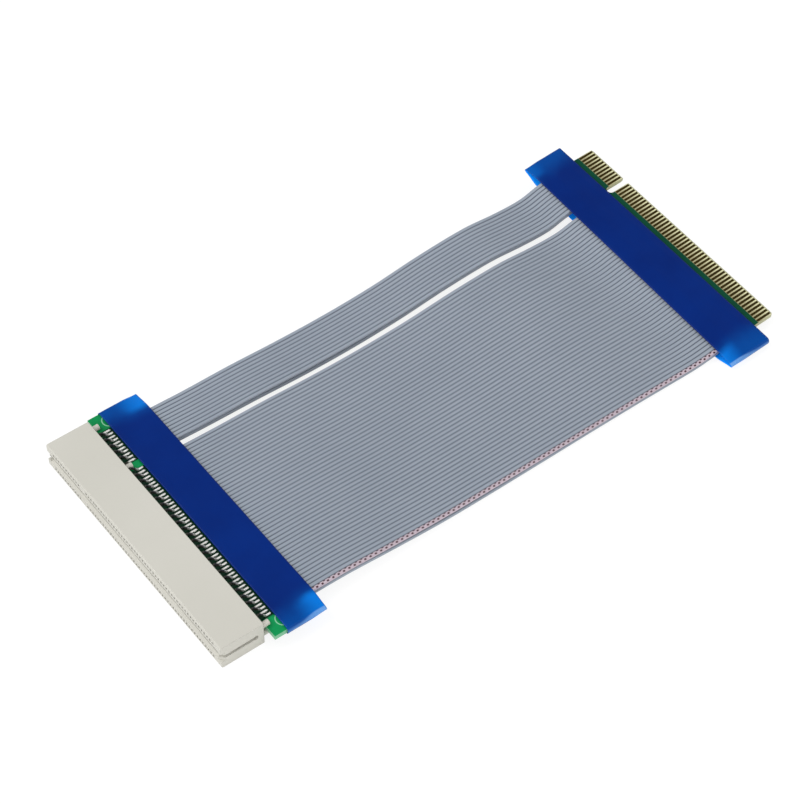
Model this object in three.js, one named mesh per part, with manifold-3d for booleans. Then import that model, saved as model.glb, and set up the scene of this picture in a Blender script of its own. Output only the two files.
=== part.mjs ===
// Riser cable for a 32-bit expansion card: a moulded card socket on one small board,
// four flat ribbons, and a keyed plug board with plated fingers at the other end.
// Millimetres, +Z up. +X runs from the socket to the plug, +Y to the short contact group.

import * as THREE from 'three';
import { mergeVertices } from 'three/addons/utils/BufferGeometryUtils.js';
import Module from 'manifold-3d';

const wasm = await Module();
wasm.setup();

// Contact rows, the same on the socket, the ribbons and the plug.
const PITCH = 1.27;
const SHORT_WAYS = 11;
const KEY_WAYS = 2;
const LONG_WAYS = 49;

// Gap kept between pieces that lie on each other.
const SEAT_GAP = 0.3;

// Circuit boards.
const BOARD_THICK = 1.6;
const BOARD_END_MARGIN = 6.75;

// Socket housing, lying on its side with its mouth towards -X.
const HOUSING_DEPTH = 13.5;
const HOUSING_HEIGHT = 8.4;
const HOUSING_END_MARGIN = 3.7;
const HOUSING_EDGE = 0.35;
const SLOT_DEPTH = 11;
const SLOT_PLAY = 0.15;
const SLOT_LEAD_IN = 0.7;
const SLOT_END_WALL = 1.4;
const KEY_RIB_PLAY = 0.25;
const KEY_RIB_SETBACK = 0.9;
const END_SLIT_HEIGHT = 1.1;
const END_SLIT_HOLE = 0.8;
const MOUTH_CORNER = 1.3;
const MOUTH_CORNER_HEIGHT = 3.4;
const WINDOW_WIDTH = 0.7;
const WINDOW_HEIGHT = 0.9;
const WINDOW_DEPTH = 1.3;
const WINDOW_OFFSET = 2.9;
const BOARD_STANDOFF = 1.4;
const LUG_RADIUS = 0.85;
const LUG_INSET = 1.3;
const LUG_OVER_BOARD = 1;
const LUG_LIFT = 0.05;

// Contact tails: inner ones lie straight on the board, outer ones step down to it.
const TAIL_WIDTH = 0.5;
const TAIL_THICK = 0.35;
const TAIL_ROOT = 0.5;
const INNER_TAIL_LENGTH = 4.4;
const OUTER_TAIL_LENGTH = 4.7;
const OUTER_TAIL_RISE = 2.35;
const OUTER_TAIL_STEM = 0.8;
const OUTER_TAIL_FOOT = 1.5;

// Socket board, against the lugs of the housing.
const SOCKET_BOARD_WIDTH = 11.6;

// Tape bands, wound along each board.
const TAPE_THICK = 0.2;
const TAPE_END_GAP = 0.3;
const TAPE_SLOPE = 2.5;
const TAPE_PINCH = 0.35;
const TAPE_END_TAPER = 6;
const SOCKET_TAPE_START = 3.75;
const SOCKET_TAPE_WIDTH = 12.5;
const PLUG_TAPE_WIDTH = 14.8;
const PLUG_TAPE_DROP = 0.6;
const PLUG_TAPE_SKEW = 0.25;

// Plug board. Its own frame has x = 0 at the middle of the fingers and z = 0 on its top.
const FINGER_LENGTH = 5.1;
const FINGER_WIDTH = 0.75;
const FINGER_PROUD = 0.06;
const TIP_BEVEL_LENGTH = 0.6;
const TIP_BEVEL_DEPTH = 0.35;
const TAB_SIDE_MARGIN = 0.65;
const TAB_CORNER = 0.4;
const GREEN_STRIP = 2.1;
const TAB_SHOULDER = 0.8;
const NOTCH_WIDTH = 2.5;
const NOTCH_DEPTH = 7.4;
const PLUG_BOARD_WIDTH = 17.1;

// Where the plug board lies, as it rests on the table at the end of the twisted ribbons.
const PLUG_PLACE = { x: 191.1, y: 0.8, z: 6.39 };
const PLUG_TURN_DEG = 2.3;
const PLUG_PITCH_DEG = 0.5;
const PLUG_ROLL_DEG = 4.75;

// Ribbons. The route is the top of the upper ribbons: how far along the open stretch between the
// tapes, height at mid width, roll and turn in degrees, and the space between the two layers.
const RIBBON_THICK = 0.9;
const RIBBON_EDGE_ROUND = 0.2;
const RIB_DEPTH = 0.3;
const RIBBON_SIDE_SHIFT = -0.4;
const ROUTE = [
  { along: 0.08, z: 4.95, roll: -0.2, turn: 0, space: 0.4 },
  { along: 0.19, z: 4.35, roll: 0.6, turn: 0, space: 0.65 },
  { along: 0.31, z: 3.5, roll: 0.9, turn: 0, space: 0.8 },
  { along: 0.43, z: 3.35, roll: 1.05, turn: 0, space: 0.75 },
  { along: 0.55, z: 3.75, roll: 1.85, turn: 0, space: 0.55 },
  { along: 0.67, z: 4.75, roll: 3.5, turn: 0.1, space: 0.4 },
  { along: 0.79, z: 5.25, roll: 4.35, turn: 0.6, space: 0.35 },
  { along: 0.88, z: 4.7, roll: 3.7, turn: 1.3, space: 0.35 },
  { along: 0.95, z: 4.65, roll: 3.8, turn: 1.9, space: 0.35 },
];

// Values that follow from the sizes above.
const LONG_START = SHORT_WAYS + KEY_WAYS;
const ALL_WAYS = Math.round(LONG_START + LONG_WAYS);
const wayY = (way) => ((ALL_WAYS - 1) / 2 - way) * PITCH;
const ROW_END = wayY(0);
const KEY_Y = (wayY(SHORT_WAYS - 1) + wayY(LONG_START)) / 2;
const WAYS = [];
for (let way = 0; way < ALL_WAYS; way += 1) {
  if (way < SHORT_WAYS || way >= LONG_START) WAYS.push(way);
}
const MID_Z = HOUSING_HEIGHT / 2;
const HOUSING_END = ROW_END + HOUSING_END_MARGIN;
const BOARD_END = ROW_END + BOARD_END_MARGIN;
const SOCKET_BOARD_X = HOUSING_DEPTH + BOARD_STANDOFF;
const SOCKET_TAPE_X = SOCKET_BOARD_X + SOCKET_TAPE_START;
const TAB_TIP = FINGER_LENGTH / 2 + TIP_BEVEL_LENGTH;
const TAB_END = ROW_END + TAB_SIDE_MARGIN;
const PLUG_TAPE_X = -FINGER_LENGTH / 2 - GREEN_STRIP;
const CUT_PAST = 1;
const ROUND_STEPS = 12;
const TOP_SIDE = 3;

const COLOURS = {
  ivory: { color: 0xd8d6ca, roughness: 0.55, metalness: 0 },
  green: { color: 0x0a7a48, roughness: 0.45, metalness: 0 },
  blue: { color: 0x0b3c86, roughness: 0.3, metalness: 0 },
  grey: { color: 0xa2a8b4, roughness: 0.5, metalness: 0 },
};

// Solids and joins.

function solidOf(geometry) {
  const bare = geometry.index ? geometry.toNonIndexed() : geometry;
  bare.deleteAttribute('normal');
  bare.deleteAttribute('uv');
  const merged = mergeVertices(bare, 1e-5);
  return new wasm.Manifold(new wasm.Mesh({
    numProp: 3,
    vertProperties: new Float32Array(merged.attributes.position.array),
    triVerts: new Uint32Array(merged.index.array),
  }));
}

function joined(solids) {
  return solids.reduce((all, solid) => all.add(solid));
}

function pieceOf(name, solid, look) {
  const mesh = solid.getMesh();
  const geometry = new THREE.BufferGeometry();
  geometry.setAttribute('position', new THREE.BufferAttribute(mesh.vertProperties, 3));
  geometry.setIndex(new THREE.BufferAttribute(mesh.triVerts, 1));
  geometry.computeVertexNormals();
  const piece = new THREE.Mesh(geometry, new THREE.MeshStandardMaterial(look));
  piece.name = name;
  return piece;
}

function block(x0, x1, y0, y1, z0, z1) {
  const geometry = new THREE.BoxGeometry(x1 - x0, y1 - y0, z1 - z0);
  geometry.translate((x0 + x1) / 2, (y0 + y1) / 2, (z0 + z1) / 2);
  return solidOf(geometry);
}

function extruded(outline, depth) {
  return new THREE.ExtrudeGeometry(outline, { depth, bevelEnabled: false, curveSegments: ROUND_STEPS });
}

// A side profile in x and z, carried across from y0 to y1.
function acrossProfile(points, y0, y1) {
  const outline = new THREE.Shape(points.map(([x, z]) => new THREE.Vector2(x, z)));
  const geometry = extruded(outline, y1 - y0);
  geometry.rotateX(Math.PI / 2);
  geometry.translate(0, y1, 0);
  return solidOf(geometry);
}

// A plan outline in x and y, carried up from z0 to z1.
function planProfile(outline, z0, z1) {
  const geometry = extruded(outline, z1 - z0);
  geometry.translate(0, 0, z0);
  return solidOf(geometry);
}

// Triangles that fill a flat ring, in the ring's own order.
function fan(count) {
  return Array.from({ length: count - 2 }, (_, k) => [0, k + 1, k + 2]);
}

// A skin over rings of the same number of points. Quads are halved one way up to flipFrom.
function lofted(rings, flipFrom, cap) {
  const count = rings[0].length;
  const indices = [];
  for (let s = 0; s < rings.length - 1; s += 1) {
    for (let k = 0; k < count; k += 1) {
      const a = s * count + k;
      const b = s * count + (k + 1) % count;
      if (k < flipFrom) indices.push(a, b, b + count, a, b + count, a + count);
      else indices.push(a, b, a + count, b, b + count, a + count);
    }
  }
  const last = (rings.length - 1) * count;
  for (const [a, b, c] of cap) {
    indices.push(a, c, b);
    indices.push(last + a, last + b, last + c);
  }
  const geometry = new THREE.BufferGeometry();
  geometry.setAttribute('position', new THREE.Float32BufferAttribute(rings.flat(2), 3));
  geometry.setIndex(indices);
  return solidOf(geometry);
}

// A round bar along x or along y.
function roundBar(radius, start, length, axis) {
  const geometry = new THREE.CylinderGeometry(radius, radius, length, ROUND_STEPS);
  if (axis === 'x') geometry.rotateZ(Math.PI / 2);
  geometry.translate(start.x, start.y, start.z);
  return solidOf(geometry);
}

// Socket housing with its contacts.

function housingBody() {
  const top = HOUSING_HEIGHT;
  const back = HOUSING_DEPTH;
  const edge = HOUSING_EDGE;
  const profile = [
    [edge, 0], [back, 0], [back, top], [edge, top], [0, top - edge], [0, edge],
  ];
  return acrossProfile(profile, -HOUSING_END, HOUSING_END);
}

function mouthCornerCut(side) {
  const outline = new THREE.Shape([
    new THREE.Vector2(-CUT_PAST, side * (HOUSING_END - MOUTH_CORNER - CUT_PAST)),
    new THREE.Vector2(MOUTH_CORNER + CUT_PAST, side * (HOUSING_END + CUT_PAST)),
    new THREE.Vector2(-CUT_PAST, side * (HOUSING_END + CUT_PAST)),
  ]);
  return planProfile(outline, MID_Z - MOUTH_CORNER_HEIGHT / 2, MID_Z + MOUTH_CORNER_HEIGHT / 2);
}

function slotCuts() {
  const half = BOARD_THICK / 2 + SLOT_PLAY;
  const end = HOUSING_END - SLOT_END_WALL;
  const rib = NOTCH_WIDTH / 2 - KEY_RIB_PLAY;
  const leadIn = acrossProfile([
    [-CUT_PAST, MID_Z - half - SLOT_LEAD_IN - CUT_PAST],
    [SLOT_LEAD_IN, MID_Z - half],
    [KEY_RIB_SETBACK, MID_Z - half],
    [KEY_RIB_SETBACK, MID_Z + half],
    [SLOT_LEAD_IN, MID_Z + half],
    [-CUT_PAST, MID_Z + half + SLOT_LEAD_IN + CUT_PAST],
  ], -end, end);
  const longSlot = block(-CUT_PAST, SLOT_DEPTH, -end, KEY_Y - rib, MID_Z - half, MID_Z + half);
  const shortSlot = block(-CUT_PAST, SLOT_DEPTH, KEY_Y + rib, end, MID_Z - half, MID_Z + half);
  return [leadIn, longSlot, shortSlot];
}

function endSlitCuts() {
  const half = END_SLIT_HEIGHT / 2;
  const length = 2 * (HOUSING_END + CUT_PAST);
  const inner = HOUSING_END - SLOT_END_WALL - CUT_PAST;
  const cuts = [];
  for (const side of [-1, 1]) {
    const y0 = Math.min(side * inner, side * length / 2);
    const y1 = Math.max(side * inner, side * length / 2);
    cuts.push(block(-CUT_PAST, SLOT_DEPTH, y0, y1, MID_Z - half, MID_Z + half));
    const hole = { x: SLOT_DEPTH, y: (y0 + y1) / 2, z: MID_Z };
    cuts.push(roundBar(END_SLIT_HOLE, hole, y1 - y0, 'y'));
  }
  return cuts;
}

function contactWindowCuts() {
  const cuts = [];
  for (const way of WAYS) {
    for (const face of [-1, 1]) {
      const y = wayY(way);
      const z = MID_Z + face * WINDOW_OFFSET;
      cuts.push(block(
        -CUT_PAST, WINDOW_DEPTH,
        y - WINDOW_WIDTH / 2, y + WINDOW_WIDTH / 2,
        z - WINDOW_HEIGHT / 2, z + WINDOW_HEIGHT / 2,
      ));
    }
  }
  return cuts;
}

function lugs() {
  const solids = [];
  const length = SOCKET_BOARD_X + LUG_OVER_BOARD - HOUSING_DEPTH + TAIL_ROOT;
  const x = HOUSING_DEPTH - TAIL_ROOT + length / 2;
  const rise = BOARD_THICK / 2 + LUG_RADIUS + LUG_LIFT;
  for (const y of [-HOUSING_END + LUG_INSET, KEY_Y, HOUSING_END - LUG_INSET]) {
    for (const face of [-1, 1]) {
      solids.push(roundBar(LUG_RADIUS, { x, y, z: MID_Z + face * rise }, length, 'x'));
    }
  }
  return solids;
}

function innerTail(face) {
  const x0 = HOUSING_DEPTH - TAIL_ROOT;
  const x1 = HOUSING_DEPTH + INNER_TAIL_LENGTH;
  const low = MID_Z + face * BOARD_THICK / 2;
  const high = low + face * TAIL_THICK;
  return [[x0, low], [x1, low], [x1, high], [x0, high]];
}

function outerTail(face) {
  const back = HOUSING_DEPTH;
  const end = back + OUTER_TAIL_LENGTH;
  const foot = end - OUTER_TAIL_FOOT;
  const stem = back + OUTER_TAIL_STEM;
  const root = back - TAIL_ROOT;
  const low = MID_Z + face * BOARD_THICK / 2;
  const high = low + face * OUTER_TAIL_RISE;
  const thick = face * TAIL_THICK;
  const miter = TAIL_THICK / 2;
  return [
    [root, high], [stem - miter, high], [foot - miter, low], [end, low],
    [end, low + thick], [foot + miter, low + thick], [stem + miter, high + thick], [root, high + thick],
  ];
}

function contactTails() {
  const solids = [];
  for (const way of WAYS) {
    const profile = way % 2 === 0 ? innerTail : outerTail;
    const y = wayY(way);
    for (const face of [-1, 1]) {
      solids.push(acrossProfile(profile(face), y - TAIL_WIDTH / 2, y + TAIL_WIDTH / 2));
    }
  }
  return solids;
}

function makeSocketHousing() {
  const cuts = [
    mouthCornerCut(-1), mouthCornerCut(1), ...slotCuts(), ...endSlitCuts(), ...contactWindowCuts(),
  ];
  const moulding = housingBody().subtract(joined(cuts));
  return pieceOf('socket_housing', joined([moulding, ...lugs(), ...contactTails()]), COLOURS.ivory);
}

// Circuit boards.

function makeSocketBoard() {
  const x0 = SOCKET_BOARD_X;
  const half = BOARD_THICK / 2;
  const board = block(x0, x0 + SOCKET_BOARD_WIDTH, -BOARD_END, BOARD_END, MID_Z - half, MID_Z + half);
  return pieceOf('socket_board', board, COLOURS.green);
}

function plugOutline() {
  const shoulder = PLUG_TAPE_X - TAB_SHOULDER;
  const back = TAB_TIP - PLUG_BOARD_WIDTH;
  const corner = TAB_CORNER;
  const points = [
    [back, -BOARD_END], [shoulder, -BOARD_END], [shoulder, -TAB_END],
    [TAB_TIP - corner, -TAB_END], [TAB_TIP, -TAB_END + corner],
    [TAB_TIP, TAB_END - corner], [TAB_TIP - corner, TAB_END],
    [shoulder, TAB_END], [shoulder, BOARD_END], [back, BOARD_END],
  ];
  return new THREE.Shape(points.map(([x, y]) => new THREE.Vector2(x, y)));
}

function notchOutline() {
  const round = NOTCH_WIDTH / 2;
  const centre = TAB_TIP - NOTCH_DEPTH + round;
  const outline = new THREE.Shape();
  outline.moveTo(TAB_TIP + CUT_PAST, KEY_Y - round);
  outline.lineTo(TAB_TIP + CUT_PAST, KEY_Y + round);
  outline.lineTo(centre, KEY_Y + round);
  outline.absarc(centre, KEY_Y, round, Math.PI / 2, Math.PI * 1.5, false);
  return outline;
}

function bevelledSheet() {
  const back = TAB_TIP - PLUG_BOARD_WIDTH;
  const bevel = TAB_TIP - TIP_BEVEL_LENGTH;
  const profile = [
    [back, -BOARD_THICK], [bevel, -BOARD_THICK], [TAB_TIP, -BOARD_THICK + TIP_BEVEL_DEPTH],
    [TAB_TIP, -TIP_BEVEL_DEPTH], [bevel, 0], [back, 0],
  ];
  return acrossProfile(profile, -BOARD_END, BOARD_END);
}

function plugFingers() {
  const solids = [];
  const half = FINGER_LENGTH / 2;
  for (const way of WAYS) {
    const y0 = wayY(way) - FINGER_WIDTH / 2;
    const y1 = y0 + FINGER_WIDTH;
    solids.push(block(-half, half, y0, y1, -FINGER_PROUD, FINGER_PROUD));
    solids.push(block(-half, half, y0, y1, -BOARD_THICK - FINGER_PROUD, -BOARD_THICK + FINGER_PROUD));
  }
  return solids;
}

function makePlugBoard() {
  const plan = planProfile(plugOutline(), -BOARD_THICK - CUT_PAST, CUT_PAST);
  const notch = planProfile(notchOutline(), -BOARD_THICK - CUT_PAST, CUT_PAST);
  const board = bevelledSheet().intersect(plan).subtract(notch);
  return pieceOf('plug_board', joined([board, ...plugFingers()]), COLOURS.green);
}

// Tape bands. Each is one flat loop round a board, open towards the contacts and the ribbons,
// and pinched at the two ends of the board where no ribbon holds it open.

function tapeSection(edges, y, layer, past) {
  const { start, boardBack, midZ } = edges;
  const pinched = Math.abs(y) > BOARD_END - TAPE_END_TAPER;
  const reach = (edges.end - boardBack) * (1 - edges.skew * (1 + y / BOARD_END) / 2);
  const end = boardBack + reach;
  const drop = edges.drop * reach / (edges.end - boardBack);
  const direction = Math.sign(end - start);
  const atBoard = BOARD_THICK / 2 + SEAT_GAP + layer;
  const atSolder = pinched ? atBoard : RIBBON_THICK + SEAT_GAP * 1.5 + layer;
  const atMouth = (pinched ? TAPE_PINCH : RIBBON_THICK + SEAT_GAP * 1.5) + layer;
  const mouthZ = pinched ? midZ : midZ - drop;
  const rows = [
    [start - direction * past, midZ, atBoard],
    [start, midZ, atBoard],
    [start + direction * TAPE_SLOPE, midZ, atSolder],
    [boardBack, midZ, atSolder],
    [end, mouthZ, atMouth],
    [end + direction * past, mouthZ, atMouth],
  ];
  const upper = rows.map(([x, z, half]) => [x, y, z + half]);
  const lower = rows.map(([x, z, half]) => [x, y, z - half]).reverse();
  const ring = [...upper, ...lower];
  return direction > 0 ? ring : ring.reverse();
}

function tapeSkin(edges, half, layer, past) {
  const taper = BOARD_END - TAPE_END_TAPER;
  const rings = [-half, -taper, taper, half].map((y) => tapeSection(edges, y, layer, past));
  return lofted(rings, 0, fan(rings[0].length));
}

function tapeBand(name, edges) {
  const inside = BOARD_END + TAPE_END_GAP;
  const outer = tapeSkin(edges, inside + TAPE_THICK, TAPE_THICK, 0);
  const hollow = tapeSkin(edges, inside, 0, CUT_PAST);
  return pieceOf(name, outer.subtract(hollow), COLOURS.blue);
}

function makeSocketTape() {
  const start = SOCKET_TAPE_X;
  const end = start + SOCKET_TAPE_WIDTH;
  const boardBack = SOCKET_BOARD_X + SOCKET_BOARD_WIDTH;
  return tapeBand('socket_tape', { start, end, boardBack, midZ: MID_Z, drop: 0, skew: 0 });
}

function makePlugTape() {
  const start = PLUG_TAPE_X;
  const end = start - PLUG_TAPE_WIDTH;
  const boardBack = TAB_TIP - PLUG_BOARD_WIDTH;
  const midZ = -BOARD_THICK / 2;
  return tapeBand('plug_tape', { start, end, boardBack, midZ, drop: PLUG_TAPE_DROP, skew: PLUG_TAPE_SKEW });
}

// The plug end lies turned and rolled at the end of the ribbons.

const plugEnd = new THREE.Group();
plugEnd.position.set(PLUG_PLACE.x, PLUG_PLACE.y, PLUG_PLACE.z);
plugEnd.rotation.set(
  THREE.MathUtils.degToRad(PLUG_ROLL_DEG),
  THREE.MathUtils.degToRad(-PLUG_PITCH_DEG),
  THREE.MathUtils.degToRad(PLUG_TURN_DEG),
  'ZYX',
);
plugEnd.updateMatrix();

// Ribbons. A station is a cross-section of the pair: its middle, the way across and the way up.

function station(middle, rollDeg, turnDeg, space) {
  const roll = THREE.MathUtils.degToRad(rollDeg);
  const turn = THREE.MathUtils.degToRad(turnDeg);
  const across = new THREE.Vector3(
    -Math.sin(turn) * Math.cos(roll), Math.cos(turn) * Math.cos(roll), Math.sin(roll),
  );
  const along = new THREE.Vector3(Math.cos(turn), Math.sin(turn), 0);
  return { middle, across, up: along.cross(across).normalize(), space };
}

function ribbonStations() {
  const pairTop = RIBBON_THICK + SEAT_GAP / 2;
  const socketEnd = SOCKET_BOARD_X + SOCKET_BOARD_WIDTH + SEAT_GAP;
  const socketTapeEnd = SOCKET_TAPE_X + SOCKET_TAPE_WIDTH;
  const start = [socketEnd, socketTapeEnd].map((x) => (
    station(new THREE.Vector3(x, RIBBON_SIDE_SHIFT, MID_Z + pairTop), 0, 0, SEAT_GAP)
  ));
  const plugBoardBack = TAB_TIP - PLUG_BOARD_WIDTH - SEAT_GAP;
  const plugTapeEnd = PLUG_TAPE_X - PLUG_TAPE_WIDTH;
  const top = pairTop - BOARD_THICK / 2;
  const finish = [[plugTapeEnd, top - PLUG_TAPE_DROP], [plugBoardBack, top]].map(([x, z]) => {
    const point = new THREE.Vector3(x, RIBBON_SIDE_SHIFT, z).applyMatrix4(plugEnd.matrix);
    return station(point, PLUG_ROLL_DEG, PLUG_TURN_DEG, SEAT_GAP);
  });
  const plugTapeX = finish[0].middle.x;
  const middle = ROUTE.map((row) => {
    const x = THREE.MathUtils.lerp(socketTapeEnd, plugTapeX, row.along);
    return station(new THREE.Vector3(x, RIBBON_SIDE_SHIFT, row.z), row.roll, row.turn, row.space);
  });
  return [...start, ...middle, ...finish];
}

// The upper ribbons show a rib over each wire. The lower ones lie under them and stay smooth.
function ribbonSection(firstWay, ways, layer) {
  const half = RIBBON_THICK / 2;
  const far = wayY(firstWay) + half;
  const near = wayY(firstWay + ways - 1) - half;
  const round = RIBBON_EDGE_ROUND;
  const under = [
    [near, -half], [near + round, -RIBBON_THICK], [far - round, -RIBBON_THICK], [far, -half],
  ];
  if (layer > 0) return [...under, [far - round, 0], [near + round, 0]];
  const ribs = [[wayY(firstWay), 0]];
  for (let way = firstWay + 1; way < firstWay + ways; way += 1) {
    ribs.push([wayY(way) + PITCH / 2, -RIB_DEPTH], [wayY(way), 0]);
  }
  return [...under, ...ribs];
}

function makeRibbon(name, firstWay, ways, layer) {
  const section = ribbonSection(firstWay, ways, layer);
  const stations = ribbonStations();
  const rings = stations.map(({ middle, across, up, space }) => {
    const drop = layer * (RIBBON_THICK + space);
    return section.map(([y, z]) => (
      middle.clone().addScaledVector(across, y).addScaledVector(up, z - drop).toArray()
    ));
  });
  const flat = section.map(([y, z]) => new THREE.Vector2(y, z));
  const cap = THREE.ShapeUtils.triangulateShape(flat, []);
  return pieceOf(name, lofted(rings, TOP_SIDE, cap), COLOURS.grey);
}

// The whole cable, centred over the table that it lies on.

plugEnd.add(makePlugBoard(), makePlugTape());

const riserCable = new THREE.Group();
riserCable.add(
  makeSocketHousing(),
  makeSocketBoard(),
  makeSocketTape(),
  makeRibbon('upper_narrow_ribbon', 0, SHORT_WAYS, 0),
  makeRibbon('upper_wide_ribbon', LONG_START, ALL_WAYS - LONG_START, 0),
  makeRibbon('lower_narrow_ribbon', 0, SHORT_WAYS, 1),
  makeRibbon('lower_wide_ribbon', LONG_START, ALL_WAYS - LONG_START, 1),
  plugEnd,
);

const bounds = new THREE.Box3().setFromObject(riserCable, true);
const centre = bounds.getCenter(new THREE.Vector3());
riserCable.position.set(-centre.x, -centre.y, -bounds.min.z);

export default riserCable;
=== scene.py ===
# %% [markdown]
# # A riser cable for an expansion card
# A moulded socket sits on a small board at one end, four flat ribbons run to a second board, and
# that board carries the plated fingers that go into a slot. Blue tape is wound round each board
# where the ribbons are soldered. The solids come from the CAD model, so the first cell loads them
# and gives a way to read a solid's box. Solids whose shape is already right only
# get a finish. Ribbons and tape, which are finer than their solids, are built again over them.

# %% Load the solids and a way to read their box
import math

import bpy
from mathutils import Euler, Matrix, Vector, noise


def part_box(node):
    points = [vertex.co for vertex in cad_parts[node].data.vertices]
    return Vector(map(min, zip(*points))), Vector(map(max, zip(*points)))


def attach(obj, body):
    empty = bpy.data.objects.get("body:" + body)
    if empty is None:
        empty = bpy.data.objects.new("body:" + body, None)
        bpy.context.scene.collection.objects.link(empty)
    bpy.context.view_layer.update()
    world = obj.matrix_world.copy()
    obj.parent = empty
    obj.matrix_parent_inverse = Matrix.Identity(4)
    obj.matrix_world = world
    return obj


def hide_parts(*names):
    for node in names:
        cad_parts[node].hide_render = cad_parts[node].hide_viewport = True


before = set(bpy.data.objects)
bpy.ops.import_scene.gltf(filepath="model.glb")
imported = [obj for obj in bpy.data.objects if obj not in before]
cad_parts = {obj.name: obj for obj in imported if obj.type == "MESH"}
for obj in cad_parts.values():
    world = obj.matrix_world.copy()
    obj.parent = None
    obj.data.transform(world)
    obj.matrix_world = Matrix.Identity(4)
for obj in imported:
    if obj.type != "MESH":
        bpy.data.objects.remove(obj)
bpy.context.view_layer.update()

# %% [markdown]
# The cable is easiest to describe in millimetres from the socket's mouth, with the table at zero.
# The housing's box says where that point lies in the model, so every piece made here lands where
# its solid is. The plug end is turned and rolled as it lies, so it has a small frame of its own.

# %% Places on the socket end and on the plug end
MM = 0.001
housing_low, housing_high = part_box("socket_housing")
MOUTH = Vector((housing_low.x, (housing_low.y + housing_high.y) / 2, housing_low.z))
PLUG_ROLL, PLUG_PITCH, PLUG_TURN = 4.75, -0.5, 2.3
PLUG_ANGLES = Euler([math.radians(a) for a in (PLUG_ROLL, PLUG_PITCH, PLUG_TURN)], "XYZ")
PLUG_POSE = Matrix.Translation((191.1, 0.8, 6.39)) @ PLUG_ANGLES.to_matrix().to_4x4()


def socket_at(x, y, z):
    return MOUTH + Vector((x, y, z)) * MM


def plug_at(x, y, z):
    return socket_at(*(PLUG_POSE @ Vector((x, y, z))))


print("socket mouth at", MOUTH.to_tuple(5), "plug at", plug_at(0, 0, 0).to_tuple(5))

# %% [markdown]
# The contact rows set everything: 62 places at a pitch of 1.27 mm, two of them taken by the key.
# Place 0 is at the far end, on the short side of the key. The socket's board lies at mid height
# of the housing, so heights at that end are counted from its mid plane.

# %% Contact rows
PITCH = 1.27
SHORT_WAYS, KEY_WAYS, LONG_WAYS = 11, 2, 49
LONG_START = SHORT_WAYS + KEY_WAYS
ALL_WAYS = LONG_START + LONG_WAYS
WAYS = [way for way in range(ALL_WAYS) if not SHORT_WAYS <= way < LONG_START]
MID_Z = 4.2
BOARD_HALF = 0.8


def way_y(way):
    return ((ALL_WAYS - 1) / 2 - way) * PITCH


KEY_Y = way_y(SHORT_WAYS + (KEY_WAYS - 1) / 2)
print(len(WAYS), "ways a side, first at", way_y(0), "mm, key at", KEY_Y, "mm")

# %% [markdown]
# The camera stands high on the socket's near side and looks down by half a right angle and a bit.
# Its place and its long lens were fitted to the two straight contact rows, whose pitch is known.
# A long lens keeps the rows nearly parallel, as they are in the picture.

# %% Camera
PICTURE_SIDE, FOCAL_PIXELS, SENSOR = 804, 2504.4, 36
HEADING, LOOK_DOWN, LEAN = math.radians(36.796), math.radians(50.055), math.radians(-0.149)

camera_data = bpy.data.cameras.new("camera")
camera_data.sensor_width = SENSOR
camera_data.lens = SENSOR * FOCAL_PIXELS / PICTURE_SIDE
camera_data.clip_end = 20
camera = bpy.data.objects.new("camera", camera_data)
bpy.context.scene.collection.objects.link(camera)
turn = Matrix.Rotation(-HEADING, 4, "Z")
turn = turn @ Matrix.Rotation(math.pi / 2 - LOOK_DOWN, 4, "X") @ Matrix.Rotation(LEAN, 4, "Z")
camera.matrix_world = Matrix.Translation(socket_at(-180.84, -362.51, 542.84)) @ turn
bpy.context.scene.camera = camera
print("camera at", camera.matrix_world.translation.to_tuple(4), "lens", round(camera_data.lens, 1))

# %% [markdown]
# Shader maths reads best as plain sums. `Signal` wraps a socket and turns +, -, *, / into Math
# nodes, also when the number comes first. `Finish` holds one material and adds any other node
# from its type, its settings and the values or links of its sockets. Colours go through a Mix
# node, because a Math node would turn them grey. Places are measured in millimetres along an
# axis, so that a mask can be written with the same numbers as the part's drawing.

# %% Signals and finishes
class Signal:
    def __init__(self, finish, socket):
        self.finish, self.socket = finish, socket

    def math(self, operation, *others):
        return self.finish.add("ShaderNodeMath", {"operation": operation}, self, *others)

    def __add__(self, other):
        return self.math("ADD", other)

    def __radd__(self, other):
        return self.math("ADD", other)

    def __sub__(self, other):
        return self.math("SUBTRACT", other)

    def __rsub__(self, other):
        return self.finish.add("ShaderNodeMath", {"operation": "SUBTRACT"}, other, self)

    def __mul__(self, other):
        return self.math("MULTIPLY", other)

    def __rmul__(self, other):
        return self.math("MULTIPLY", other)

    def __truediv__(self, other):
        return self.math("DIVIDE", other)

    def __abs__(self):
        return self.math("ABSOLUTE")

    def step(self, low, high):
        """0 below low and 1 above high, with a soft slope between them."""
        settings = {"interpolation_type": "SMOOTHSTEP", "clamp": True}
        return self.finish.add("ShaderNodeMapRange", settings, self, low, high, 0.0, 1.0)

    def within(self, low, high, soft):
        """1 between low and high and 0 outside them, with soft slopes."""
        return self.step(low - soft, low + soft) * (1 - self.step(high - soft, high + soft))

    def capped(self):
        return self.math("MINIMUM", 1.0)


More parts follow.
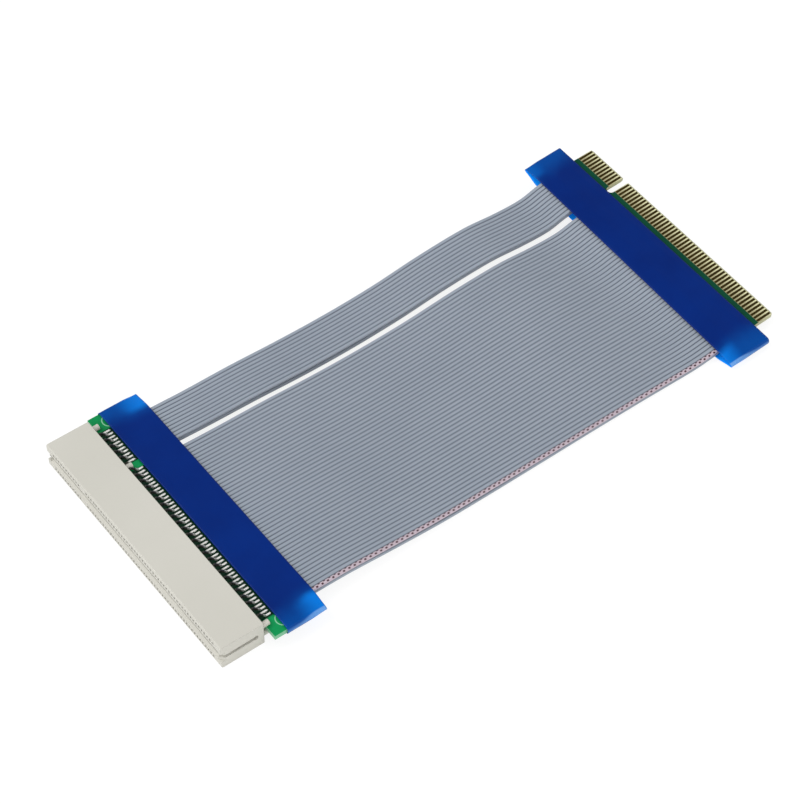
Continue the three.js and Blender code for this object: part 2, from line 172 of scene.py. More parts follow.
class Finish:
    def __init__(self, name, **surface):
        self.material = bpy.data.materials.new(name)
        self.material.use_nodes = True
        self.tree = self.material.node_tree
        self.shader = self.tree.nodes["Principled BSDF"]
        for socket, value in surface.items():
            self.shader.inputs[socket.replace("_", " ")].default_value = value

    def add(self, kind, settings=None, *values, out=0, **named):
        node = self.tree.nodes.new(kind)
        for key, value in (settings or {}).items():
            setattr(node, key, value)
        for index, value in enumerate(values):
            self.feed(node.inputs[index], value)
        for key, value in named.items():
            self.feed(node.inputs[key.replace("_", " ")], value)
        return Signal(self, node.outputs[out])

    def feed(self, socket, value):
        if isinstance(value, Signal):
            self.tree.links.new(value.socket, socket)
        else:
            socket.default_value = value

    def set(self, **sockets):
        for name, value in sockets.items():
            self.feed(self.shader.inputs[name.replace("_", " ")], value)

    def place(self):
        return self.add("ShaderNodeTexCoord", out="Object")

    def lie(self):
        """The two numbers that a mesh carries at each point: along the piece and across it."""
        spot = self.add("ShaderNodeUVMap", {"uv_map": "lie"})
        return [self.add("ShaderNodeSeparateXYZ", None, spot, out=axis) for axis in ("X", "Y")]

    def distances(self, origin, *directions):
        """How far each point lies from an origin along each direction, in millimetres."""
        subtract, dot = {"operation": "SUBTRACT"}, {"operation": "DOT_PRODUCT"}
        away = self.add("ShaderNodeVectorMath", subtract, self.place(), tuple(origin))
        scaled = [tuple(Vector(direction).normalized() / MM) for direction in directions]
        return [self.add("ShaderNodeVectorMath", dot, away, one, out="Value") for one in scaled]

    def blend(self, amount, first, second):
        """One colour going over to another; 6, 7 and 2 are the Mix node's colour sockets."""
        node = self.tree.nodes.new("ShaderNodeMix")
        node.data_type = "RGBA"
        self.feed(node.inputs[0], amount)
        self.feed(node.inputs[6], first)
        self.feed(node.inputs[7], second)
        return Signal(self, node.outputs[2])

    def grain(self, scale, detail=3.0, rough=0.55, point=None):
        """A noise between 0 and 1; scale is in features a metre."""
        point = point or self.place()
        return self.add("ShaderNodeTexNoise", None,
                        Vector=point, Scale=scale, Detail=detail, Roughness=rough)

    def relief(self, height, distance, strength, **more):
        """Fine unevenness that only the light shows; distance is its depth in metres."""
        self.set(Normal=self.add("ShaderNodeBump", None, Height=height,
                                 Distance=distance, Strength=strength, **more))


def rgb(red, green, blue):
    """A colour as a paint chart gives it, 0 to 255, turned into the light it sends back."""
    def linear(c):
        c /= 255
        return c / 12.92 if c <= 0.04045 else ((c + 0.055) / 1.055) ** 2.4
    return (linear(red), linear(green), linear(blue), 1.0)


print("signals and finishes ready")

# %% [markdown]
# Meshes are made from lists of points and faces. One helper puts them on the model: it gives the
# piece its finish, rides it on the one body and, where it stands for a solid, hides that solid. A
# piece may carry a second set of numbers, called its lie, that says how far along and across it
# each point is, so that a finish can follow a piece round its bends.

# %% Mesh helper
LIE_SCALE = 100


def add_piece(name, points, faces, finish, stands_for=None, smooth=True, lie=None):
    mesh = bpy.data.meshes.new(name)
    mesh.from_pydata([tuple(p) for p in points], [], faces)
    mesh.validate()
    if lie is not None:
        layer = mesh.uv_layers.new(name="lie")
        for loop in mesh.loops:
            layer.data[loop.index].uv = lie[loop.vertex_index]
    if smooth:
        mesh.polygons.foreach_set("use_smooth", [True] * len(mesh.polygons))
    mesh.materials.append(finish.material)
    mesh.update()
    piece = bpy.data.objects.new(name, mesh)
    bpy.context.scene.collection.objects.link(piece)
    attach(piece, "root")
    if stands_for:
        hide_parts(stands_for)
    triangles = sum(len(f) - 2 for f in faces)
    print(name, len(points), "points,", triangles, "triangles")
    return piece


def tube_faces(rings, count, closed_ends=True):
    """Quads between rings of the same number of points, with a cap on each end."""
    faces = []
    for ring in range(rings - 1):
        for k in range(count):
            a, b = ring * count + k, ring * count + (k + 1) % count
            faces.append((a, b, b + count, a + count))
    if closed_ends:
        faces.append(tuple(range(count))[::-1])
        faces.append(tuple((rings - 1) * count + k for k in range(count)))
    return faces


# %% [markdown]
# The four ribbons lie loose: level at the socket, sagging to the table on the near side, and
# rolled by nearly five degrees where the plug end holds them. The route is a short list of
# stations, the same as in the solids, and a smooth curve goes through them. Each station says how
# far along the open stretch it lies, how high, how it rolls and turns, and the space below it.

# %% Route of the ribbons
RIBBON_THICK, SEAT_GAP, SIDE_SHIFT = 0.9, 0.3, -0.4
STEPS_BETWEEN = 6
ROUTE = [
    (0.08, 4.95, -0.2, 0.0, 0.4), (0.19, 4.35, 0.6, 0.0, 0.65), (0.31, 3.5, 0.9, 0.0, 0.8),
    (0.43, 3.35, 1.05, 0.0, 0.75), (0.55, 3.75, 1.85, 0.0, 0.55), (0.67, 4.75, 3.5, 0.1, 0.4),
    (0.79, 5.25, 4.35, 0.6, 0.35), (0.88, 4.7, 3.7, 1.3, 0.35), (0.95, 4.65, 3.8, 1.9, 0.35),
]
PAIR_TOP = RIBBON_THICK + SEAT_GAP / 2
SOCKET_BOARD_X, SOCKET_BOARD_WIDTH = 14.9, 11.6
SOCKET_TAPE_X, SOCKET_TAPE_WIDTH = 18.65, 12.5
PLUG_TAPE_X, PLUG_TAPE_WIDTH, PLUG_TAPE_DROP, PLUG_TAPE_SKEW = -4.65, 14.8, 0.6, 0.25
TAB_TIP, PLUG_BOARD_WIDTH = 3.15, 17.1


def route_stations():
    """Each station: x, y, z of the upper ribbon's top at mid width, roll, turn, space."""
    starts = (SOCKET_BOARD_X + SOCKET_BOARD_WIDTH + SEAT_GAP, SOCKET_TAPE_X + SOCKET_TAPE_WIDTH)
    rows = [(x, SIDE_SHIFT, MID_Z + PAIR_TOP, 0.0, 0.0, SEAT_GAP) for x in starts]
    top = PAIR_TOP - BOARD_HALF
    ends = []
    for x, z in ((PLUG_TAPE_X - PLUG_TAPE_WIDTH, top - PLUG_TAPE_DROP),
                 (TAB_TIP - PLUG_BOARD_WIDTH - SEAT_GAP, top)):
        point = PLUG_POSE @ Vector((x, SIDE_SHIFT, z))
        ends.append((point.x, point.y, point.z, PLUG_ROLL, PLUG_TURN, SEAT_GAP))
    open_from, open_to = starts[1], ends[0][0]
    for along, z, roll, turn, space in ROUTE:
        x = open_from + (open_to - open_from) * along
        rows.append((x, SIDE_SHIFT, z, roll, turn, space))
    return rows + ends


def smooth_between(rows, steps):
    """A curve through the rows whose slope at each comes from its two neighbours."""
    fine = []
    for i in range(len(rows) - 1):
        before, after = rows[max(i - 1, 0)], rows[min(i + 2, len(rows) - 1)]
        here, there = rows[i], rows[i + 1]
        span = there[0] - here[0]
        for step in range(steps):
            t = step / steps
            h = (2 * t**3 - 3 * t**2 + 1, t**3 - 2 * t**2 + t, 3 * t**2 - 2 * t**3, t**3 - t**2)
            row = []
            for a, p, q, b in zip(before, here, there, after):
                slope_p = (q - a) / max(there[0] - before[0], 1e-6) * span
                slope_q = (b - p) / max(after[0] - here[0], 1e-6) * span
                row.append(h[0] * p + h[1] * slope_p + h[2] * q + h[3] * slope_q)
            fine.append(row)
    fine.append(list(rows[-1]))
    return fine


lie_of_ribbons = smooth_between(route_stations(), STEPS_BETWEEN)
first, last = lie_of_ribbons[0], lie_of_ribbons[-1]
print(len(lie_of_ribbons), "sections, from x =", first[0], "to", round(last[0], 2))

# %% [markdown]
# Ribbon cable is a row of insulated wires moulded side by side, so its section is a row of round
# ridges joined by thin webs. That shape is built for real: the grooves then catch the light at
# every angle, which a flat band with a striped paint wouldn't do.

# %% Ribbed cross-section
RIDGE_POINTS = 6
RIDGE_ARC = math.radians(68)
RIDGE_WIDTH = PITCH * 0.985
GROOVE_HALF, EDGE_HALF = 0.17, 0.12


def ribbed_section(first_way, ways):
    """Points round the section, each with its place across, counted in ways."""
    half = RIBBON_THICK / 2
    foot = math.cos(RIDGE_ARC)
    top = []
    for index in range(ways):
        centre = way_y(first_way + index)
        for k in range(RIDGE_POINTS):
            angle = RIDGE_ARC * (1 - 2 * k / (RIDGE_POINTS - 1))
            y = centre + math.sin(angle) / math.sin(RIDGE_ARC) * RIDGE_WIDTH / 2
            z = GROOVE_HALF + (half - GROOVE_HALF) * (math.cos(angle) - foot) / (1 - foot)
            if index == 0 and k == 0:
                y, z = centre + half, EDGE_HALF
            if index == ways - 1 and k == RIDGE_POINTS - 1:
                y, z = centre - half, EDGE_HALF
            top.append((y, z - half, index + (k + 0.5) / RIDGE_POINTS))
    bottom = [(y, -z - RIBBON_THICK, place) for y, z, place in reversed(top)]
    return top + bottom


def ribbon_piece(name, first_way, ways, layer, finish):
    section = ribbed_section(first_way, ways)
    points, lie = [], []
    for x, y, z, roll, turn, space in lie_of_ribbons:
        r, t = math.radians(roll), math.radians(turn)
        across = Vector((-math.sin(t) * math.cos(r), math.cos(t) * math.cos(r), math.sin(r)))
        up = Vector((math.cos(t), math.sin(t), 0)).cross(across).normalized()
        drop = layer * (RIBBON_THICK + space)
        for side, high, place in section:
            spot = Vector((x, y, z)) + across * side + up * (high - drop)
            points.append(socket_at(*spot))
            lie.append((x / LIE_SCALE, place / LIE_SCALE))
    faces = [face[::-1] for face in tube_faces(len(lie_of_ribbons), len(section))]
    add_piece(name + "_ribbed", points, faces, finish, name, lie=lie)


print("section of the wide ribbon:", len(ribbed_section(LONG_START, LONG_WAYS)), "points")

# %% [markdown]
# The insulation is a cool grey with painted shade in the grooves between the wires, with faint
# streaks along each wire and a fine satin grain. The wire at the near edge of the upper wide
# ribbon is the marked one: a pinkish wire with dark red dashes in two rows along it. They take
# turns, one high and one low, so that they read as a zigzag.

# %% Ribbon finish
DASH_BEAT = 1.75


def ribbon_finish(name, ways, marked_way=None):
    finish = Finish(name, Roughness=0.42, Specular_IOR_Level=0.2)
    along, way = [number * LIE_SCALE for number in finish.lie()]
    from_ridge = abs(way.math("FRACT") - 0.5) * 2
    # Painted shade: the grooves between the wires are darkened, except along the ribbon's outer
    # sides.
    shaded_groove = from_ridge.step(0.3, 0.92) * way.within(0.4, ways - 0.4, 0.15)
    drawn_out = finish.add("ShaderNodeCombineXYZ", None, along * 0.05, way * 0.9, 0.0)
    streak = finish.grain(1.0, 2.0, 0.6, drawn_out)
    cloud = finish.grain(45.0, 3.0)
    tone = 0.35 + streak * 0.25 + cloud * 0.35
    ridge = finish.blend(tone, rgb(133, 143, 156), rgb(165, 173, 185))
    colour = finish.blend(shaded_groove * 0.9, ridge, rgb(46, 57, 71))
    if marked_way is not None:
        across = way - marked_way
        colour = finish.blend(across.within(0.08, 0.97, 0.06) * 0.85, colour, rgb(206, 188, 198))
        beat = (along / DASH_BEAT).math("FRACT")
        high_dash = across.within(0.1, 0.4, 0.04) * beat.within(0.07, 0.43, 0.05)
        low_dash = across.within(0.46, 0.76, 0.04) * beat.within(0.57, 0.93, 0.05)
        colour = finish.blend(high_dash + low_dash, colour, rgb(62, 12, 28))
    finish.set(Base_Color=colour, Roughness=0.36 + streak * 0.1 + shaded_groove * 0.15)
    finish.relief(finish.grain(5200.0, 2.0) + cloud * 0.6, 0.00003, 0.25)
    return finish


narrow_grey = ribbon_finish("grey_insulation_narrow", SHORT_WAYS)
wide_grey = ribbon_finish("grey_insulation_wide", LONG_WAYS)
marked_grey = ribbon_finish("grey_insulation_marked", LONG_WAYS, LONG_WAYS - 1)
ribbon_piece("upper_narrow_ribbon", 0, SHORT_WAYS, 0, narrow_grey)
ribbon_piece("upper_wide_ribbon", LONG_START, LONG_WAYS, 0, marked_grey)
ribbon_piece("lower_narrow_ribbon", 0, SHORT_WAYS, 1, narrow_grey)
ribbon_piece("lower_wide_ribbon", LONG_START, LONG_WAYS, 1, wide_grey)

# %% [markdown]
# The tape is a thin glossy film wound once round the board and the ribbon ends. Over the board it
# is drawn flat, beyond the board it dips to the ribbons, and past the outer wires its two layers
# are pinched together. A skin of closed loops, one for each step across the tape, gives the
# round folds at its ends, and a little noise gives the hand-laid wrinkles.

# %% Tape skins
BOARD_END = way_y(0) + 6.75
TAPE_SKIN = 0.2
TAPE_END = BOARD_END + SEAT_GAP + TAPE_SKIN
PINCH_FROM = BOARD_END - 6.0
ROUNDED_END = 0.9
LEAVES_BOARD = 0.62
FILM_THICK, FILM_INSET = 0.1, 0.08
ON_BOARD = BOARD_HALF + SEAT_GAP + TAPE_SKIN
ON_RIBBONS = RIBBON_THICK + SEAT_GAP * 1.5 + TAPE_SKIN
PINCHED = 0.35 + TAPE_SKIN
COLUMNS = 26
LOWER_LAYER = 2.0


def eased(t):
    return t * t * (3 - 2 * t)


def tape_half(share, room, mouth):
    """Half the height of the sleeve across its width: 0 at the contacts, 1 at the ribbons."""
    marks = [(0.0, ON_BOARD), (0.2, room), (LEAVES_BOARD, room), (1.0, mouth)]
    for (a, low), (b, high) in zip(marks, marks[1:]):
        if share <= b:
            return low + (high - low) * eased((share - a) / (b - a))
    return mouth


def wrinkle(x, y, side, seed):
    """A small rise or fall of the film, from a coarse noise and a fine one."""
    coarse = noise.noise(Vector((x * 0.22, y * 0.11, seed + side))) * 0.09
    fine = noise.noise(Vector((x * 0.6, y * 0.5, seed + side * 3))) * 0.04
    return min(0.06, max(-0.1, coarse + fine))


def tape_height(x, y, side, share, drop, seed):
    """How far the film lies above or below the middle of the board."""
    pinch = eased(max(0.0, (abs(y) - PINCH_FROM) / (TAPE_END - PINCH_FROM)))
    open_half = tape_half(share, ON_RIBBONS, ON_RIBBONS)
    shut_half = tape_half(share, ON_BOARD, PINCHED)
    half = open_half + (shut_half - open_half) * pinch
    past_board = max(0.0, (share - LEAVES_BOARD) / (1 - LEAVES_BOARD))
    middle = -drop * past_board * (1 - pinch)
    close = min(1.0, (TAPE_END - abs(y)) / ROUNDED_END)
    roundness = math.sqrt(max(0.0, 1 - (1 - close) ** 2))
    film = half - FILM_INSET + wrinkle(x, y, side, seed) * min(1.0, half)
    return middle + side * roundness * film


def tape_places():
    """Places along the band from end to end, close together where it folds round the board."""
    flat, steps = TAPE_END - 1.8, 88
    middle = [flat * (1 - 2 * k / steps) for k in range(steps + 1)]
    fold = [TAPE_END - d for d in (0.0, 0.02, 0.07, 0.16, 0.3, 0.5, 0.75, 1.1)]
    return fold + middle + [-y for y in reversed(fold)]


def tape_skin(name, node, place, start, end, drop, skew, board_back, finish, seed):
    places = tape_places()
    loop = [(y, 1) for y in places] + [(-y, -1) for y in places[1:-1]]
    points, lie = [], []
    for column in range(COLUMNS + 1):
        share = column / COLUMNS
        for y, side in loop:
            reach = (end - board_back) * (1 - skew * (1 + y / BOARD_END) / 2)
            x = start + (board_back + reach - start) * share
            points.append(place(x, y, tape_height(x, y, side, share, drop, seed)))
            lie.append((share if side > 0 else share + LOWER_LAYER, 0.5 + y / LIE_SCALE))
    faces = tube_faces(COLUMNS + 1, len(loop), closed_ends=False)
    if end > start:
        faces = [face[::-1] for face in faces]
    piece = add_piece(name, points, faces, finish, node, lie=lie)
    film = piece.modifiers.new("film", "SOLIDIFY")
    film.thickness = FILM_THICK * MM
    film.offset = -1


print(len(tape_places()), "places along the band,", COLUMNS, "columns across it")

# %% [markdown]
# Where the film lies over a board or over wires it looks nearly navy. Where it has nothing
# behind it, light comes through and it turns bright azure: at the loose corners past the outer
# wires, along the ribbon-side edge, and in the gap between the ribbons. So the colour is mixed
# from the place on the tape: how far across, and how near an end. Towards both ends the navy is
# painted lighter, for the light coming through there. A painted highlight lies pale along the
# fold at the near end, more so towards the ribbons. The lower layer shows only its inside, past
# the outer wires and in the gap; a painted glow there stands in for the light behind it.

# %% Tape finish
OUTER_WIRE = 39.2
GAP_HALF = 1.6


def tape_finish(name, azure_from, far_azure):
    finish = Finish(name, Specular_IOR_Level=0.08)
    layer_share, place_along = finish.lie()
    side = (place_along - 0.5) * LIE_SCALE
    below = layer_share.math("GREATER_THAN", LOWER_LAYER - 0.5)
    share = layer_share - below * LOWER_LAYER
    from_middle = abs(side)
    cloud = finish.grain(60.0, 3.0)
    fine = finish.grain(420.0, 4.0)
    at_near_end = side.math("LESS_THAN", 0.0)
    strength = at_near_end + (1 - at_near_end) * far_azure
    edge = (share + cloud * 0.3 - 0.15).step(azure_from, 1.0)
    loose = edge * (from_middle + cloud * 4 - 2).step(OUTER_WIRE, 42.0) * strength
    near_end = (from_middle + cloud * 8).step(40.0, 49.0)
    gap = side.within(KEY_Y - GAP_HALF, KEY_Y + GAP_HALF, 0.3)
    uncovered = (from_middle.step(39.0, 40.0) + gap).capped()
    under = below * share.step(0.55, 0.7) * uncovered
    navy = finish.blend(cloud, rgb(0, 31, 104), rgb(0, 45, 130))
    # Painted light: towards both ends the navy is painted a lighter blue, for light coming through
    # the film.
    lighter_towards_ends = finish.blend(near_end * 0.6, navy, rgb(0, 84, 170))
    lit = finish.blend(loose * 0.95, lighter_towards_ends, rgb(4, 122, 224))
    lit = finish.blend(under * 0.95, lit, rgb(24, 150, 246))
    # Painted highlight: a pale band along the fold at the near end, wider and stronger towards the
    # ribbons.
    highlight_width = share.step(0.3, 1.0) * 0.75 + 0.1
    fold_highlight = at_near_end * (1 - (TAPE_END - from_middle - highlight_width).step(-0.2, 0.25))
    colour = finish.blend(fold_highlight * (0.35 + share * 0.45) * (1 - below), lit, rgb(120, 172, 232))
    # Painted glow: the lower layer's inside gives off a little azure light, standing in for the
    # light behind the film.
    glow = finish.blend(under, (0, 0, 0, 1), rgb(10, 120, 235))
    finish.set(Base_Color=colour, Roughness=0.24 + fine * 0.16,
               Emission_Color=glow, Emission_Strength=0.3)
    finish.relief(cloud * 0.7 + fine * 0.3, 0.00012, 0.35)
    return finish


socket_tape_blue = tape_finish("blue_film_tape", 0.3, 1.0)
plug_tape_blue = tape_finish("blue_film_tape_on_the_plug", 0.62, 0.35)
tape_skin("socket_tape_film", "socket_tape", lambda x, y, z: socket_at(x, y, MID_Z + z),
          SOCKET_TAPE_X, SOCKET_TAPE_X + SOCKET_TAPE_WIDTH, 0.0, 0.0,
          SOCKET_BOARD_X + SOCKET_BOARD_WIDTH, socket_tape_blue, 3.0)
tape_skin("plug_tape_film", "plug_tape", lambda x, y, z: plug_at(x, y, z - BOARD_HALF),
          PLUG_TAPE_X, PLUG_TAPE_X - PLUG_TAPE_WIDTH, PLUG_TAPE_DROP, PLUG_TAPE_SKEW,
          TAB_TIP - PLUG_BOARD_WIDTH, plug_tape_blue, 11.0)

# %% [markdown]
# The housing is a satin ivory moulding, and its solid already has the slot, the windows and the
# tails. One finish covers it: behind the back face the tinned metal of the tails takes over,
# except at the small moulded lugs, and the stems next to the back face get a painted shadow. The
# windows and the slot get a little painted shade, because little light gets out of them. Soft
# edges come from a Bevel node, so the light runs round the corners of the moulding without a
# change to the solid.

# %% Housing finish
HOUSING_DEPTH, SLOT_DEPTH = 13.5, 11.05
SLOT_LENGTH_HALF, WINDOWS_LENGTH_HALF = 41.0, 39.5
WINDOW_LOW, WINDOW_HIGH = 2.43, 3.37
FOOT_X = 15.6
ALONG, ACROSS, UP = (1, 0, 0), (0, 1, 0), (0, 0, 1)


def dress(node, finish):
    """Put a finish on a solid that is used as it is."""
    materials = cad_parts[node].data.materials
    materials.clear()
    materials.append(finish.material)
    print(node, "has", finish.material.name)


def housing_finish():
    finish = Finish("ivory_moulding_and_tinned_tails", Specular_IOR_Level=0.4)
    x, y, z = finish.distances(MOUTH, ALONG, ACROSS, UP)
    cloud = finish.grain(30.0, 3.0)
    speck = finish.grain(900.0, 2.0)
    ivory = finish.blend(cloud, rgb(201, 199, 189), rgb(212, 210, 201))
    from_middle = abs(z - MID_Z)
    # Painted shade in the windows and the slot.
    window = from_middle.within(WINDOW_LOW, WINDOW_HIGH, 0.02)
    window = window * x.step(0.1, 0.5) * (1 - x.step(1.2, 1.4))
    window = window * (1 - abs(y).step(WINDOWS_LENGTH_HALF, WINDOWS_LENGTH_HALF + 0.1))
    slot = (1 - from_middle.step(0.9, 1.0)) * x.step(0.4, 2.5)
    slot = slot * (1 - x.step(SLOT_DEPTH, SLOT_DEPTH + 0.05))
    slot = slot * (1 - abs(y).step(SLOT_LENGTH_HALF, SLOT_LENGTH_HALF + 0.05))
    ivory = finish.blend((window + slot).capped() * 0.8, ivory, rgb(70, 58, 44))
    lug = abs(y).step(40.1, 40.2) + y.within(KEY_Y - 0.95, KEY_Y + 0.95, 0.02)
    metal = x.step(HOUSING_DEPTH + 0.01, HOUSING_DEPTH + 0.03) * (1 - lug.capped())
    # Painted shadow: the stems between the housing and the bright feet are painted near black.
    stem_in_shadow = finish.blend(speck, rgb(40, 41, 35), rgb(76, 77, 69))
    foot = finish.blend(speck, rgb(226, 226, 220), rgb(250, 250, 246))
    tin = finish.blend(x.step(FOOT_X, FOOT_X + 0.7), stem_in_shadow, foot)
    finish.set(Base_Color=finish.blend(metal, ivory, tin), Metallic=metal * 0.6,
               Roughness=0.46 + cloud * 0.12 - metal * 0.22)
    edges = finish.add("ShaderNodeBevel", {"samples": 4}, Radius=0.00018)
    finish.relief(speck, 0.00002, 0.2, Normal=edges)
    return finish


dress("socket_housing", housing_finish())

# %% [markdown]
# Both boards are glass laminate with a green mask, and their cut edges show the bare laminate.
# The socket's board has painted shade between the tails and a pale ring near each corner.
# On the plug board the mask stops short of the fingers, the bare laminate there shows cream, and
# the fingers are plated, with their gold painted dark brown as a painted dark reflection. Its
# distances run along the plug's own axes, because that end lies rolled.

# %% Board finishes
FINGER_HALF = 2.55
EDGE_SHOWS = 0.68
PLATING_SHOWS = 0.82
RING_X, RING_Y = 20.0, 42.0
RING_INNER, RING_OUTER = 2.05, 2.35


def socket_board_finish():
    finish = Finish("green_mask_socket_board", Specular_IOR_Level=0.15)
    x, y, z = finish.distances(MOUTH, ALONG, ACROSS, UP)
    cloud, fine = finish.grain(160.0, 3.0), finish.grain(2600.0, 3.0)
    green = finish.blend(cloud, rgb(0, 108, 56), rgb(14, 176, 100))
    # Painted shade: the board between the tails is painted near black.
    shade_between_tails = finish.blend(fine, rgb(2, 20, 15), rgb(6, 42, 28))
    between = (1 - abs(y).step(39.2, 39.9)) * (1 - y.within(KEY_Y - 1.3, KEY_Y + 1.3, 0.2))
    face = finish.blend(between * 0.95, green, shade_between_tails)
    # A pale ring round a point near each corner of the board.
    ring_x, ring_y = x - RING_X, abs(y) - RING_Y
    away = (ring_x * ring_x + ring_y * ring_y).math("SQRT")
    ring = away.within(RING_INNER, RING_OUTER, 0.08)
    face = finish.blend(ring * 0.7, face, rgb(168, 224, 192))
    laminate = finish.blend(fine, rgb(104, 176, 134), rgb(150, 206, 170))
    cut_edge = 1 - abs(z - MID_Z).step(EDGE_SHOWS, EDGE_SHOWS + 0.1)
    colour = finish.blend(cut_edge, face, laminate)
    finish.set(Base_Color=colour, Roughness=0.3 + fine * 0.15)
    finish.relief(fine + cloud * 0.5, 0.00002, 0.4)
    return finish


def plug_board_finish():
    finish = Finish("green_mask_and_plated_fingers", Specular_IOR_Level=0.12)
    turned = PLUG_POSE.to_3x3()
    x, z = finish.distances(plug_at(0, 0, 0), turned @ Vector(ALONG), turned @ Vector(UP))
    cloud, fine = finish.grain(160.0, 3.0), finish.grain(2600.0, 3.0)
    masked = 1 - x.step(-FINGER_HALF - 0.12, -FINGER_HALF + 0.02)
    cream = finish.blend(x.step(-FINGER_HALF, TAB_TIP), rgb(168, 160, 122), rgb(228, 226, 182))
    green = finish.blend(cloud, rgb(0, 56, 38), rgb(2, 80, 54))
    bare = finish.blend(masked, cream, green)
    from_middle = abs(z + BOARD_HALF)
    laminate = finish.blend(fine, rgb(176, 178, 140), rgb(206, 204, 168))
    cut_edge = 1 - from_middle.step(EDGE_SHOWS, EDGE_SHOWS + 0.1)
    board = finish.blend(cut_edge, bare, laminate)
    plated = from_middle.step(PLATING_SHOWS, PLATING_SHOWS + 0.01)
    # Painted reflection: the plated fingers' gold is painted dark brown, standing in for a dark
    # reflection.
    gold_in_dark_reflection = finish.blend(cloud, rgb(58, 48, 18), rgb(84, 70, 32))
    finish.set(Base_Color=finish.blend(plated, board, gold_in_dark_reflection), Metallic=plated,
               Roughness=0.34 + fine * 0.12 - plated * 0.1)
    finish.relief(fine + cloud * 0.5, 0.00002, 0.4)
    return finish


dress("socket_board", socket_board_finish())
dress("plug_board", plug_board_finish())

# %% [markdown]
# Each tail foot sits in a bright bead of solder that runs along its pad. A bead is a long low
# dome over the foot; one mesh holds all of them on both faces of the board.

# %% Solder mounds on the socket board
MOUND_X, MOUND_LENGTH, MOUND_WIDTH, MOUND_HEIGHT = 17.25, 2.1, 0.6, 0.46
MOUND_SIDES = 10
MOUND_RINGS = [(1.0, 0.0), (0.92, 0.55), (0.6, 0.9), (0.2, 1.0)]


def add_tube(faces, base, rings, count, turned):
    """A tube's faces for points that start at base, turned round if the tube is mirrored."""
    for face in tube_faces(rings, count):
        moved = tuple(base + corner for corner in face)
        faces.append(moved[::-1] if turned else moved)


def mound(points, faces, y, side):
    base = len(points)
    for reach, rise in MOUND_RINGS:
        for k in range(MOUND_SIDES):
            a = 2 * math.pi * k / MOUND_SIDES
            px = MOUND_X + math.cos(a) * MOUND_LENGTH / 2 * reach
            py = y + math.sin(a) * MOUND_WIDTH / 2 * reach
            points.append(socket_at(px, py, MID_Z + side * (BOARD_HALF + MOUND_HEIGHT * rise)))
    add_tube(faces, base, len(MOUND_RINGS), MOUND_SIDES, side < 0)


def solder_finish():
    finish = Finish("bright_solder", Metallic=0.2)
    cloud, fine = finish.grain(700.0, 3.0), finish.grain(5000.0, 2.0)
    finish.set(Base_Color=finish.blend(cloud, rgb(228, 228, 224), rgb(252, 252, 250)),
               Roughness=0.16 + cloud * 0.2)
    finish.relief(fine * 0.4 + cloud, 0.00005, 0.5)
    return finish


solder_points, solder_faces = [], []
for way in WAYS:
    for side in (1, -1):
        mound(solder_points, solder_faces, way_y(way), side)
add_piece("solder_mounds", solder_points, solder_faces, solder_finish())

# %% [markdown]
# Seen through the windows in the mouth, each contact ends in a small folded spring. It is a thin
# strip that comes up behind its window and bows into the slot, where it presses on the card.

# %% Spring contacts in the slot
SPRING_PATH = [
    (0.55, 2.95), (1.25, 3.05), (1.3, 2.0), (1.9, 1.1),
    (3.4, 0.72), (4.9, 0.58), (6.6, 0.9), (8.4, 1.25),
]
SPRING_HALF, SPRING_THICK = 0.27, 0.12
STRIP_CORNERS = [(-1, 1), (1, 1), (1, -1), (-1, -1)]


def spring(points, faces, y, side):
    base = len(points)
    steps = [SPRING_PATH[0]] + SPRING_PATH + [SPRING_PATH[-1]]
    for before, here, after in zip(steps, steps[1:], steps[2:]):
        lead = (Vector(after) - Vector(before)).normalized()
        out = Vector((-lead.y, lead.x)) * SPRING_THICK / 2
        for across, lift in STRIP_CORNERS:
            x, z = Vector(here) + out * lift
            points.append(socket_at(x, y + across * SPRING_HALF, MID_Z + side * z))
    add_tube(faces, base, len(SPRING_PATH), len(STRIP_CORNERS), side > 0)


def spring_finish():
    finish = Finish("dull_bronze_spring", Metallic=1.0)
    cloud = finish.grain(900.0, 3.0)
    bronze = finish.blend(cloud, rgb(92, 78, 56), rgb(150, 134, 104))
    finish.set(Base_Color=bronze, Roughness=0.32 + cloud * 0.2)
    finish.relief(finish.grain(4000.0, 2.0), 0.00002, 0.4)
    return finish


spring_points, spring_faces = [], []
for way in WAYS:
    for side in (1, -1):
        spring(spring_points, spring_faces, way_y(way), side)
add_piece("slot_springs", spring_points, spring_faces, spring_finish(),
          smooth=False)

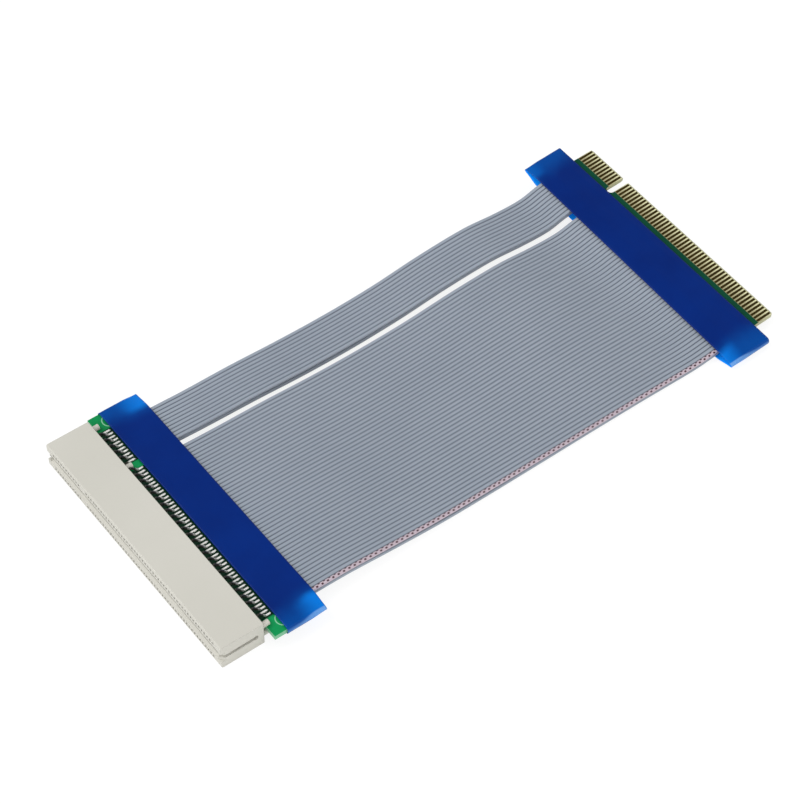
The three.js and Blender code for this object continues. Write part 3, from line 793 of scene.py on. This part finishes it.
# %% [markdown]
# The table is white and the light is soft. A broad lamp high on the left gives the ridges their
# shading, two weaker ones fill in from the near side and from low down, and an even sky does the
# rest. The table makes the background white by itself: where it is looked at, straight or in a
# reflection, it glows and keeps only a little of its own grey, so a faint shadow stays. For all
# other light it is a plain pale grey that sends some light back up under the ribbons. So the
# lamps stay at a level where a colour looks as it was mixed.

# %% Table, sky and lamps
TABLE_HALF = 4


def grey(level):
    return (level, level, level, 1)


def table():
    finish = Finish("white_table", Roughness=0.9, Specular_IOR_Level=0.0)
    by_camera, in_gloss, through = [
        finish.add("ShaderNodeLightPath", out=f"Is {kind} Ray")
        for kind in ("Camera", "Glossy", "Transmission")]
    seen = (by_camera + in_gloss + through).capped()
    finish.set(Base_Color=finish.blend(seen, grey(0.85), grey(0.2)),
               Emission_Color=finish.blend(seen, grey(0), grey(1)), Emission_Strength=0.86)
    mesh = bpy.data.meshes.new("table")
    corners = [(-1, -1), (1, -1), (1, 1), (-1, 1)]
    points = [(x * TABLE_HALF, y * TABLE_HALF, 0) for x, y in corners]
    mesh.from_pydata(points, [], [(0, 1, 2, 3)])
    mesh.materials.append(finish.material)
    floor = bpy.data.objects.new("table", mesh)
    bpy.context.scene.collection.objects.link(floor)


def lamp(name, place, size, power):
    data = bpy.data.lights.new(name, "AREA")
    data.shape, data.size, data.energy = "DISK", size, power
    obj = bpy.data.objects.new(name, data)
    obj.location = place
    obj.rotation_euler = (-Vector(place)).to_track_quat("-Z", "Y").to_euler()
    bpy.context.scene.collection.objects.link(obj)


table()
lamp("broad_lamp", (-1.1, 0.9, 1.7), 1.4, 20)
lamp("near_fill", (0.9, -1.4, 1.3), 1.6, 9)
lamp("low_fill", (-1.3, -1.2, 0.5), 1.2, 9)
sky = bpy.data.worlds.new("even_sky")
sky.use_nodes = True
background = sky.node_tree.nodes["Background"]
background.inputs["Color"].default_value = grey(1)
background.inputs["Strength"].default_value = 0.55
bpy.context.scene.world = sky
bpy.context.scene.view_settings.view_transform = "Standard"
print("table, three lamps and a sky")
